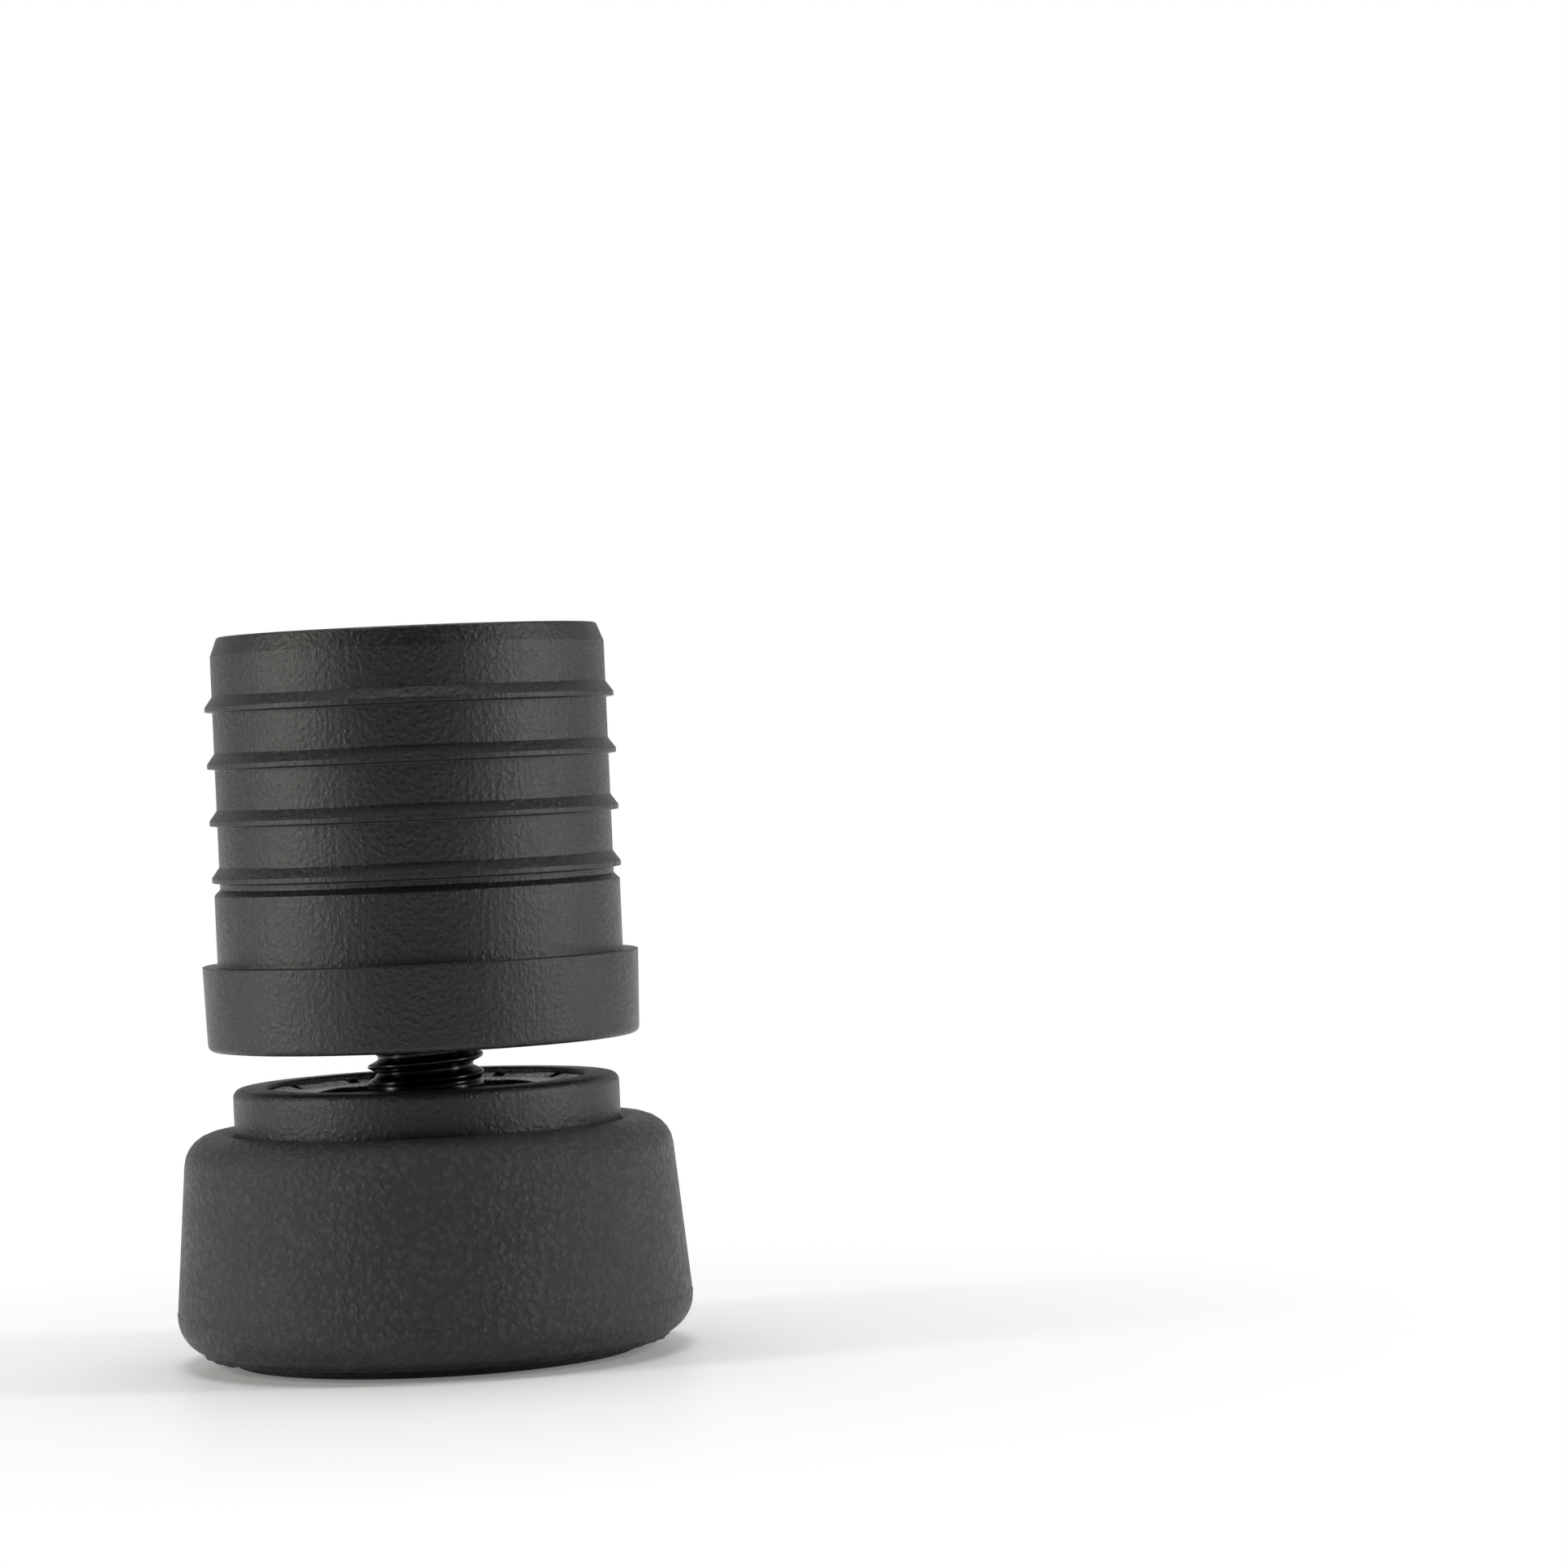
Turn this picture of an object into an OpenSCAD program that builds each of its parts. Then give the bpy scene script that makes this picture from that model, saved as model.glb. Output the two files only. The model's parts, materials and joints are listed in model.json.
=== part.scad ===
// Levelling foot for a tubular furniture leg. A rubber-booted foot swivels and
// tilts on a ball, and the stud through the ball screws into a plug that closes
// the lower end of the leg tube. Millimetres, +Z up, origin under the sole's centre.

/* [Leg tube] */
// Outer diameter of the leg tube that the plug closes
tube_d = 38; // [34:0.5:60]
// Wall of the leg tube
tube_wall = 1.6; // [1:0.1:2.5]

/* [Stud] */
// Major diameter of the stud's thread
thread_d = 10; // [8:0.5:12]
// Pitch of the thread
thread_pitch = 1.5; // [1:0.25:2]
// Length of the stud that stands inside the plug
stud_engaged = 30.2; // [24:0.2:36]
// Diameter of the plain journal that turns in the ball
journal_d = 7; // [5:0.1:7.5]

/* [Ball joint] */
// Diameter of the ball
ball_d = 15; // [12:0.1:18]
// Height of each flat of the ball from its centre
ball_half = 5.6; // [4.8:0.1:5.8]
// Height of the cup's mouth above the ball's centre
cup_grip = 3.4; // [2.6:0.1:4.2]
// Wall of the cup round the ball's widest line
cup_wall = 2.8; // [2:0.1:4]

/* [Foot] */
// Height of the collar's rim above the floor
collar_top = 23.5; // [20:0.5:30]
// Height of the collar that shows above the boot
collar_show = 3.7; // [2:0.1:5]
// Wall of the collar
collar_wall = 2.85; // [2.2:0.05:4]
// Width of the boot's ledge outside the collar, at the top of the boot's side
ledge_w = 4.4; // [3.6:0.1:8]
// How much wider the boot is at its foot than at its shoulder, on each side
boot_flare = 1.1; // [0:0.1:3]
// Radius of the boot's lower edge
boot_toe = 3.3; // [1.5:0.1:3.8]
// Thickness of rubber outside the core
boot_wall = 2.4; // [1.5:0.1:3.2]
// Thickness of the sole pad
sole_t = 3; // [2.6:0.1:6]
// Height at which the boot's lower edge stops above the floor
sole_show = 1; // [0.4:0.1:1.6]

/* [Plug] */
// Gap between the collar's rim and the plug when the foot is screwed in
rest_gap = 3.3; // [2:0.1:6]
// Height of the plug's flange
flange_h = 7.2; // [4:0.1:12]
// Step from the tube's outside in to the flange
flange_step = 0.4; // [0:0.1:1.5]
// Length of the plug's barrel inside the tube
barrel_h = 28; // [24:0.5:40]
// Length of the plain land next to the flange
land_h = 6; // [4:0.5:8]
// Number of barbed fins on the barrel
fin_count = 4; // [2:1:5]

/* [Hidden] */
$fn = 96;

// Clearances
run_gap = 0.1;
journal_gap = 0.05;
thread_gap = 0.07;
fit_gap = 0.05;

// Ball joint, from the floor up
floor_t = 1.1;
cup_base_t = 1.2;
ball_r = ball_d / 2;
floor_top = sole_t + floor_t;
cup_z = floor_top + run_gap;
cup_bore_r = ball_r + run_gap;
ball_z = cup_z + cup_base_t + cup_bore_r;
cup_r = cup_bore_r + cup_wall;
cup_top = ball_z + cup_grip;
cup_slots = 6;
cup_slot_w = 1;
cup_slot_z = ball_z - 2.5;
mouth_lead = 0.5;

// Stud
thread_r = thread_d / 2;
crest_r = thread_r - 0.05;
root_r = thread_r - 0.61 * thread_pitch;
journal_r = journal_d / 2;
washer_t = 0.8;
washer_r = thread_r + 0.5;
washer_z = ball_z + ball_half;
shoulder_z = washer_z + washer_t + journal_gap;
clip_t = 0.8;
clip_r = journal_r + 1;
clip_groove = 0.6;
clip_pocket_r = clip_r + run_gap;
clip_pocket_h = 2;
clip_z = ball_z - ball_half + clip_pocket_h - clip_t - run_gap;
stud_end_h = 0.3;
thread_start = shoulder_z + 3.5;

// Core, from the cup outwards
well_r = cup_r + run_gap;
hub_wall = 1.8;
hub_r = well_r + hub_wall;
groove_w = 1.35;
collar_in = hub_r + groove_w;
collar_r = collar_in + collar_wall;
rim_round = 0.8;
core_shelf_t = 2.5;
rib_count = 8;
rib_w = 1.6;

// Boot
boot_top = collar_top - collar_show;
shoulder_h = 3;
shoulder_w = 2.7;
boot_side_r = collar_r + ledge_w;
boot_r = boot_side_r + boot_flare;
core_r = boot_side_r - boot_wall;
core_shelf = boot_top - shoulder_h - 0.3;
boot_lip = 0.9;
boot_dip = 0.3;
toe_z = sole_show + boot_toe;

// Sole pad
sole_r = core_r - boot_lip - run_gap;
sole_edge = 0.5;
sole_groove_w = 1.2;
sole_groove_h = 0.5;

// Retaining stack in the collar
lock_drop = 0.4;
lock_t = 0.7;
lock_bend = 0.3;
lock_teeth = 12;
lock_slot_w = 1.1;
lock_slot_h = 1.3;
keeper_t = 0.8;
keeper_r = collar_in - 0.15;
lock_r = collar_in - fit_gap;
lock_z = collar_top - lock_drop - lock_t;
hub_top = lock_z - keeper_t;
keeper_lip_t = 0.8;
keeper_lip_r = well_r - 0.3;
keeper_bore = keeper_lip_r - keeper_lip_t;
wave_h = 1.1;
wave_t = 0.35;
wave_count = 3;
lip_z = cup_top + wave_h;
wave_in = keeper_bore - 1.4;
wave_out = keeper_lip_r;

// Plug and its threaded insert
plug_z = collar_top + rest_gap;
flange_top = plug_z + flange_h;
flange_r = tube_d / 2 - flange_step;
flange_draft = 0.2;
flange_round = 0.5;
bore_r = tube_d / 2 - tube_wall;
land_r = bore_r - 0.1;
fin_r = bore_r + 0.05;
fin_root_r = bore_r - 0.6;
fin_w = 1.4;
barrel_top = flange_top + barrel_h;
barrel_wall = 2.3;
barrel_in = fin_root_r - barrel_wall;
plate_t = 2.6;
lead_in = 1.6;
fin_pitch = (barrel_h - land_h - lead_in - 1) / fin_count;
insert_wall = 1.9;
insert_r = thread_r + insert_wall;
insert_flange_r = insert_r + 2.1;
insert_flange_t = 1.3;
insert_h = 14.2;
insert_top = plug_z + insert_h;
insert_bore = crest_r + thread_gap;
knurl_count = 24;
knurl_depth = 0.35;
nylon_h = 2;
nylon_wall = 1.2;
nylon_in = crest_r + fit_gap;
nylon_r = nylon_in + nylon_wall;
hub_lip_t = 1.4;
plug_hub_r = insert_r + 1.6;
plug_hub_top = insert_top + fit_gap + hub_lip_t;
web_count = 6;
web_w = 1.8;

// Points of an arc about (x, y), from angle a0 to a1, with n steps
function arc(x, y, rx, ry, a0, a1, n) =
    [for (i = [0:n]) [x + rx * cos(a0 + (a1 - a0) * i / n), y + ry * sin(a0 + (a1 - a0) * i / n)]];

// Ring with a rectangular section
module ring(inner, outer, z0, z1) {
    rotate_extrude() translate([inner, z0]) square([outer - inner, z1 - z0]);
}

// Pad that stands on the floor, with two shallow ring grooves under it
module sole_pad() {
    color("dimgray") difference() {
        rotate_extrude() polygon(concat(
            [[0, sole_t], [0, 0]],
            arc(sole_r - sole_edge, sole_edge, sole_edge, sole_edge, -90, 0, 6),
            [[sole_r, sole_t]]));
        for (r = [sole_r * 0.45, sole_r * 0.72])
            ring(r, r + sole_groove_w, -1, sole_groove_h);
    }
}

// Soft outer shell: flared side, rolled shoulder and a lip under the core
module boot() {
    color("darkslategray") rotate_extrude() polygon(concat(
        [[sole_r + run_gap, sole_t], [sole_r + run_gap, sole_show]],
        arc(boot_r - boot_toe, toe_z, boot_toe, boot_toe, -90, 0, 10),
        arc(boot_side_r - shoulder_w, boot_top - shoulder_h, shoulder_w, shoulder_h, 0, 90, 10),
        [[collar_r + fit_gap, boot_top - boot_dip],
         [collar_r + fit_gap, core_shelf + fit_gap],
         [core_r + fit_gap, core_shelf + fit_gap],
         [core_r + fit_gap, sole_t]]));
}

// Hard body of the foot: hub and well for the joint, skirt, shelf and collar
module core() {
    color("gray") {
        rotate_extrude() polygon(concat(
            [[0, sole_t], [hub_r, sole_t], [hub_r, core_shelf - core_shelf_t],
             [core_r - collar_wall, core_shelf - core_shelf_t],
             [core_r - collar_wall, sole_t], [core_r, sole_t],
             [core_r, core_shelf], [collar_r, core_shelf]],
            arc(collar_r - rim_round, collar_top - rim_round, rim_round, rim_round, 0, 90, 6),
            [[collar_in + 0.2, collar_top], [collar_in, collar_top - 0.2],
             [collar_in, core_shelf], [hub_r, core_shelf], [hub_r, hub_top],
             [well_r, hub_top], [well_r, floor_top], [0, floor_top]]));
        for (i = [0:rib_count - 1])
            rotate([0, 0, 360 * i / rib_count])
                translate([hub_r - 0.2, -rib_w / 2, sole_t])
                    cube([core_r - collar_wall - hub_r + 0.4, rib_w,
                        core_shelf - core_shelf_t - sole_t + 0.2]);
    }
}

// Flanged bush whose lip reaches down the well and holds the cup under its spring
module keeper() {
    color("black") rotate_extrude() polygon([
        [keeper_bore, lip_z], [keeper_lip_r, lip_z], [keeper_lip_r, hub_top],
        [keeper_r, hub_top], [keeper_r, lock_z], [keeper_bore + 0.4, lock_z],
        [keeper_bore, lock_z - 0.4]]);
}

// Push-in spring ring: a flat annulus with upturned teeth that bite the collar
module lock_ring() {
    tooth_r = lock_r - lock_slot_h;
    color("silver") difference() {
        rotate_extrude() polygon([
            [keeper_bore, lock_z], [tooth_r, lock_z],
            [lock_r, lock_z + lock_bend], [lock_r, lock_z + lock_t],
            [tooth_r, lock_z + lock_t - lock_bend],
            [keeper_bore, lock_z + lock_t - lock_bend]]);
        for (i = [0:lock_teeth - 1])
            rotate([0, 0, 360 * (i + 0.5) / lock_teeth])
                translate([tooth_r, -lock_slot_w / 2, lock_z - 1])
                    cube([lock_slot_h + 1, lock_slot_w, lock_t + 2]);
    }
}

// Spring washer with a sine wave, between the cup and the keeper's lip
module wave_washer() {
    steps = 72;
    amp = (wave_h - wave_t) / 2 - fit_gap;
    mid = cup_top + wave_h / 2;
    function corner(a, r, side) = [r * cos(a), r * sin(a),
        mid + side * wave_t / 2 + amp * sin(wave_count * a)];
    points = [for (i = [0:steps - 1]) let (a = 360 * i / steps)
        each [corner(a, wave_in, -1), corner(a, wave_out, -1),
            corner(a, wave_out, 1), corner(a, wave_in, 1)]];
    faces = [for (i = [0:steps - 1], k = [0:3]) let (
        here = 4 * i, next = 4 * ((i + 1) % steps), m = (k + 1) % 4)
        each [[here + k, next + k, next + m], [here + k, next + m, here + m]]];
    color("lightgray") polyhedron(points, faces);
}

// Slotted bearing cup that grips the ball and turns in the core's well
module swivel_cup() {
    color("ivory") difference() {
        translate([0, 0, cup_z]) cylinder(r = cup_r, h = cup_top - cup_z);
        translate([0, 0, ball_z]) sphere(r = cup_bore_r);
        translate([0, 0, cup_top - mouth_lead])
            cylinder(r1 = sqrt(pow(cup_bore_r, 2) - pow(cup_grip - mouth_lead, 2)),
                r2 = sqrt(pow(cup_bore_r, 2) - pow(cup_grip, 2)) + mouth_lead,
                h = mouth_lead + 0.01);
        for (i = [0:cup_slots - 1])
            rotate([0, 0, 360 * i / cup_slots])
                translate([cup_bore_r / 2, -cup_slot_w / 2, cup_slot_z])
                    cube([cup_r, cup_slot_w, cup_top - cup_slot_z + 1]);
    }
}

// Ball with two flats, a journal bore and a pocket below for the clip
module ball_knuckle() {
    color("silver") difference() {
        intersection() {
            translate([0, 0, ball_z]) sphere(r = ball_r);
            translate([0, 0, ball_z - ball_half]) cylinder(r = ball_r + 1, h = 2 * ball_half);
        }
        translate([0, 0, ball_z - ball_half - 1])
            cylinder(r = journal_r + journal_gap, h = 2 * ball_half + 2);
        translate([0, 0, ball_z - ball_half - 1])
            cylinder(r = clip_pocket_r, h = clip_pocket_h + 1);
    }
}

// Bearing washer under the stud's shoulder
module thrust_washer() {
    color("goldenrod") ring(journal_r + journal_gap, washer_r, washer_z, washer_z + washer_t);
}

// Stud: plain journal with a clip groove, shoulder, and the threaded shank
module stud() {
    end_z = ball_z - ball_half + stud_end_h;
    top_z = plug_z + stud_engaged;
    turns = floor((top_z - 1.5 - thread_start) / thread_pitch);
    color("darkslategray") rotate_extrude() polygon(concat(
        [[0, end_z], [journal_r - 0.3, end_z], [journal_r, end_z + 0.3],
         [journal_r, clip_z - 0.05], [journal_r - clip_groove, clip_z - 0.05],
         [journal_r - clip_groove, clip_z + clip_t + 0.05], [journal_r, clip_z + clip_t + 0.05],
         [journal_r, shoulder_z], [crest_r - 0.3, shoulder_z], [crest_r, shoulder_z + 0.3]],
        [for (i = [0:turns - 1]) let (z = thread_start + i * thread_pitch)
            each [[crest_r, z], [root_r, z + thread_pitch * 0.4375],
                [root_r, z + thread_pitch * 0.5625], [crest_r, z + thread_pitch]]],
        [[crest_r, top_z - 1], [crest_r - 1, top_z], [0, top_z]]));
}

// Snap ring in the journal's groove, which keeps the stud in the ball
module journal_clip() {
    color("dimgray") difference() {
        ring(journal_r - clip_groove + 0.05, clip_r, clip_z, clip_z + clip_t);
        translate([0, -0.8, clip_z - 1]) cube([clip_r + 1, 1.6, clip_t + 2]);
    }
}

// Plug: flange under the tube's end, finned barrel, and a webbed hub for the insert
module tube_plug() {
    counter_r = insert_flange_r + fit_gap;
    bore = insert_r + fit_gap;
    plate_top = plug_z + plate_t;
    color("dimgray") {
        rotate_extrude() polygon(concat(
            [[counter_r, plug_z]],
            arc(flange_r - flange_draft - flange_round, plug_z + flange_round,
                flange_round, flange_round, -90, 0, 6),
            [[flange_r, flange_top], [land_r, flange_top], [land_r, flange_top + land_h],
             [fin_root_r, flange_top + land_h + 0.5]],
            [for (i = [0:fin_count - 1]) let (z = flange_top + land_h + 1 + i * fin_pitch)
                each [[fin_root_r, z], [fin_r, z + 0.1], [fin_r, z + 0.5], [fin_root_r, z + fin_w]]],
            [[fin_root_r, barrel_top - lead_in], [fin_root_r - 0.6, barrel_top],
             [barrel_in, barrel_top], [barrel_in, plate_top], [plug_hub_r, plate_top],
             [plug_hub_r, plug_hub_top], [crest_r + 0.6, plug_hub_top],
             [crest_r + 0.6, insert_top + fit_gap], [bore, insert_top + fit_gap],
             [bore, plug_z + insert_flange_t + fit_gap],
             [counter_r, plug_z + insert_flange_t + fit_gap]]));
        for (i = [0:web_count - 1])
            rotate([0, 0, 360 * (i + 0.5) / web_count])
                translate([plug_hub_r - 0.2, -web_w / 2, plate_top - 0.2])
                    cube([barrel_in - plug_hub_r + 0.4, web_w, insert_top - plate_top]);
    }
}

// Flanged steel nut with a straight knurl, pressed into the plug from below
module threaded_insert() {
    color("silver") difference() {
        rotate_extrude() polygon([
            [insert_bore + 0.4, plug_z], [insert_flange_r, plug_z],
            [insert_flange_r, plug_z + insert_flange_t], [insert_r, plug_z + insert_flange_t],
            [insert_r, insert_top], [nylon_r + fit_gap, insert_top],
            [nylon_r + fit_gap, insert_top - nylon_h], [insert_bore, insert_top - nylon_h],
            [insert_bore, plug_z + 0.4]]);
        for (i = [0:knurl_count - 1])
            rotate([0, 0, 360 * i / knurl_count])
                translate([insert_r, 0, plug_z + insert_flange_t + 0.8])
                    rotate([0, 0, 45])
                        translate([-knurl_depth, -knurl_depth, 0])
                            cube([2 * knurl_depth, 2 * knurl_depth, insert_h - insert_flange_t - 4]);
    }
}

// Nylon ring in the nut's end that grips the thread
module thread_lock_ring() {
    color("royalblue") ring(nylon_in, nylon_r, insert_top - nylon_h + fit_gap, insert_top - fit_gap);
}

sole_pad();
boot();
core();
keeper();
lock_ring();
wave_washer();
swivel_cup();
ball_knuckle();
thrust_washer();
stud();
journal_clip();
tube_plug();
threaded_insert();
thread_lock_ring();
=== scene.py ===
# %% [markdown]
# # A levelling foot, finished in Blender
# The solids of this foot come from a CAD model that is loaded as a fixed frame. This lesson
# gives the pieces that show a finer skin, worked out with numpy, and gives every piece a
# procedural finish. Lengths are written in millimetres and turned into metres at the very end,
# when a mesh is made.

# %% Load the frame
import json

import bpy
import numpy as np
from mathutils import Matrix, Vector


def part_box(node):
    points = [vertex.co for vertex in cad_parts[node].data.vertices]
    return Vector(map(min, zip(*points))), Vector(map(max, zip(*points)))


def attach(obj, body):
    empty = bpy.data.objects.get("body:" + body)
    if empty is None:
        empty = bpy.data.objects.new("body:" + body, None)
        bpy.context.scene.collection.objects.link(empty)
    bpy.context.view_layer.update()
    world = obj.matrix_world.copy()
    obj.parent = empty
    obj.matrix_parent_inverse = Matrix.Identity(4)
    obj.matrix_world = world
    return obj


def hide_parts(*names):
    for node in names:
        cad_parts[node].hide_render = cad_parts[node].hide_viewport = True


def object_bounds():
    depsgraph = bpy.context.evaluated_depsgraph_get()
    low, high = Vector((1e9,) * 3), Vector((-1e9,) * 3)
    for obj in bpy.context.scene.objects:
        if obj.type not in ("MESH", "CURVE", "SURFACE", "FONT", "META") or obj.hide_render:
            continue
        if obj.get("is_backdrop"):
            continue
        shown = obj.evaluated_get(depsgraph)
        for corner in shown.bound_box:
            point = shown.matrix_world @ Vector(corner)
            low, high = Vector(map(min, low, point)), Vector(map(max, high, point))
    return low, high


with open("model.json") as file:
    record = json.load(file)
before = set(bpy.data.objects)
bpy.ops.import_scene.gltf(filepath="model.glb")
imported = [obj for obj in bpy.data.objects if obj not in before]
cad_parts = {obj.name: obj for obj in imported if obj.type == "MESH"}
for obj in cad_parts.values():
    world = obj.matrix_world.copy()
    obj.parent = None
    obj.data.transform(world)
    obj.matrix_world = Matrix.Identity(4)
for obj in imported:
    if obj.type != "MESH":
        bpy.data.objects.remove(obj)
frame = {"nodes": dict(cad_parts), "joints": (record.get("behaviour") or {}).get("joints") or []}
CAD_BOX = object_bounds()
MM = 0.001
print("nodes:", ", ".join(sorted(frame["nodes"])))

# %% [markdown]
# Every round piece is known by three numbers of its CAD box: its largest radius, and the heights
# of its two ends. Working from these keeps each new skin exactly where the solid is.

# %% Read the sizes of a node
def round_box(node):
    """Largest radius, lowest height and highest height of a CAD node, in millimetres."""
    low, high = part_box(node)
    return high[0] / MM, low[2] / MM, high[2] / MM


PITCH = 1.5
BALL_Z = frame["joints"][1]["pos_m"][2] / MM
print("ball centre at", round(BALL_Z, 2), "mm")

# %% [markdown]
# Moulded and turned parts have no truly sharp edges, and those small rounds are what catch the
# light. So an outline is written as corners, each with its own fillet radius, and one function
# turns the corners into arcs. A short straight step is kept on both sides of each arc, which
# holds the smooth shading to the round and leaves the flats flat.

# %% Outlines with rounded corners
STEPS = 7
HOLD = 0.06


def arc(x, z, radius, start, stop, steps=STEPS):
    """Points on a circle about (x, z), from one angle to another, in degrees."""
    a = np.radians(np.linspace(start, stop, steps))
    return np.column_stack([x + radius * np.cos(a), z + radius * np.sin(a)])


def fillet(before, corner, after, radius):
    """The corner as an arc that touches both sides, with a held point before and after it."""
    u = (before - corner) / np.linalg.norm(before - corner)
    v = (after - corner) / np.linalg.norm(after - corner)
    half = np.arccos(np.clip(u @ v, -1, 1)) / 2
    reach = radius / np.tan(half)
    middle = corner + (u + v) / np.linalg.norm(u + v) * radius / np.sin(half)
    first, last = corner + u * reach - middle, corner + v * reach - middle
    t = np.linspace(0, 1, STEPS)[:, None]
    sweep = np.pi - 2 * half
    curve = (np.sin((1 - t) * sweep) * first + np.sin(t * sweep) * last) / np.sin(sweep)
    hold = np.array([corner + u * (reach + HOLD), corner + v * (reach + HOLD)])
    return np.vstack([hold[:1], middle + curve, hold[1:]])


def rounded(corners, closed=True):
    """Outline through (radius, height, fillet) corners; a fillet of 0 keeps the corner."""
    pts = np.array([c[:2] for c in corners], float)
    rows = []
    for i, (r, z, size) in enumerate(corners):
        is_end = not closed and i in (0, len(corners) - 1)
        if size <= 0 or is_end:
            rows.append(pts[i : i + 1])
        else:
            rows.append(fillet(pts[i - 1], pts[i], pts[(i + 1) % len(pts)], size))
    return np.vstack(rows)


# %% [markdown]
# A turned piece is its outline carried round the axis. The surface is a grid with two parameters:
# the place along the outline, and the angle. A `push` can move each point outwards by an amount
# that depends on both, which is how threads, knurls and moulding flash are made from the same
# function. Outlines that start and end on the axis are closed with one point at each pole.

# %% Grids and turned pieces
def add_object(name, points, faces, body, *nodes):
    """A mesh object from arrays in millimetres, riding on a body and standing for CAD nodes."""
    mesh = bpy.data.meshes.new(name)
    faces = [np.asarray(f, np.int32) for f in faces if len(f)]
    counts = np.concatenate([np.full(len(f), f.shape[1], np.int32) for f in faces])
    loops = np.concatenate([f.ravel() for f in faces])
    mesh.vertices.add(len(points))
    mesh.vertices.foreach_set("co", (points * MM).astype(np.float32).ravel())
    mesh.loops.add(len(loops))
    mesh.loops.foreach_set("vertex_index", loops)
    mesh.polygons.add(len(counts))
    mesh.polygons.foreach_set("loop_start", np.concatenate([[0], np.cumsum(counts)[:-1]]))
    mesh.polygons.foreach_set("use_smooth", np.ones(len(counts), bool))
    mesh.update(calc_edges=True)
    mesh.validate()
    piece = bpy.data.objects.new(name, mesh)
    bpy.context.scene.collection.objects.link(piece)
    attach(piece, body)
    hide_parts(*nodes)
    triangles = int((counts - 2).sum())
    print(f"{name}: {len(points)} points, {triangles} triangles")
    return piece


def turned(outline, angles=288, push=None):
    """Points and faces of an outline carried round Z. Point (i, j) is at angle j: its radius is
    the outline's radius plus push(outline, angle), and its height is the outline's height."""
    theta = np.arange(angles) * 2 * np.pi / angles
    open_ends = outline[0, 0] == 0 and outline[-1, 0] == 0
    rows = outline[1:-1] if open_ends else outline
    r = np.repeat(rows[:, :1], angles, axis=1)
    z = np.repeat(rows[:, 1:], angles, axis=1)
    if push is not None:
        dr, dz = push(r, z, theta[None, :])
        r, z = r + dr, z + dz
    points = np.stack([r * np.cos(theta), r * np.sin(theta), z], axis=2).reshape(-1, 3)
    i = np.arange(len(rows) - (1 if open_ends else 0))[:, None] * angles
    j = np.arange(angles)[None, :]
    nxt = (i + angles) % (len(rows) * angles)
    right = (j + 1) % angles
    quads = np.stack([i + j, i + right, nxt + right, nxt + j], axis=2).reshape(-1, 4)
    if not open_ends:
        return points, [quads]
    poles = np.array([[0, 0, outline[0, 1]], [0, 0, outline[-1, 1]]])
    first = np.arange(angles)
    last = first + (len(rows) - 1) * angles
    low = np.stack([np.full(angles, len(points)), np.roll(first, -1), first], axis=1)
    high = np.stack([np.full(angles, len(points) + 1), last, np.roll(last, -1)], axis=1)
    return np.vstack([points, poles]), [quads, low, high]


def joined(*parts):
    """Several (points, faces) shells as one."""
    points = np.vstack([p for p, _ in parts])
    starts = np.cumsum([0] + [len(p) for p, _ in parts])
    faces = [np.asarray(f) + s for (_, fs), s in zip(parts, starts) for f in fs]
    return points, faces


def spokes(count, turn, inner, outer, width, low, high):
    """Flat radial walls, repeated round Z: boxes from one radius to another."""
    half = width / 2
    plan = ((inner, -half), (outer, -half), (outer, half), (inner, half))
    corner = np.array([[x, y, z] for z in (low, high) for x, y in plan])
    sides = np.array([[3, 2, 1, 0], [4, 5, 6, 7], [0, 1, 5, 4],
                      [1, 2, 6, 5], [2, 3, 7, 6], [3, 0, 4, 7]])
    angle = np.radians(turn) + np.arange(count) * 2 * np.pi / count
    c, s, zero, one = np.cos(angle), np.sin(angle), 0 * angle, 1 + 0 * angle
    spin = np.stack([c, -s, zero, s, c, zero, zero, zero, one], axis=1).reshape(-1, 3, 3)
    points = np.einsum("nij,kj->nki", spin, corner).reshape(-1, 3)
    faces = (sides[None] + 8 * np.arange(count)[:, None, None]).reshape(-1, 4)
    return points, [faces]


def ripple(theta, seed, waves, first=2):
    """Smooth wander round a circle: a sum of sines with seeded phases, about -1 to 1."""
    rng = np.random.default_rng(seed)
    total = 0
    for k in range(first, first + waves):
        total = total + np.sin(k * theta + rng.uniform(0, 2 * np.pi)) * rng.uniform(0.4, 1)
    return total / np.sqrt(waves)


# %% [markdown]
# The boot is compression-moulded rubber. It flares to a full toe, its shoulder rolls over into a
# shallow valley against the collar, and the mould left two marks: a fine bead where its halves
# met at the widest line, and a ragged flash round the toe, which is a fin whose tip wanders.

# %% Boot
boot_r, boot_low, boot_top = round_box("boot")
core_r, core_low, rim_z = round_box("core")
sole_r, _, sole_top = round_box("sole_pad")
TOE = 3.3
FLASH_IN = 2.4
FLASH = 0.22
BEAD_RISE = 0.25
BEAD = 0.05
FLARE = 1.1
SHOULDER = 2.8
COLLAR_R = 16.5
CORE_SHELF = 16.5
BOND = 0.05
toe_z = boot_low + TOE
side_z = boot_top - SHOULDER
side_slope = FLARE / (side_z - toe_z)


def side_r(z):
    """Radius of the boot's straight side at a height."""
    return boot_r - side_slope * (z - toe_z)


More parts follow.
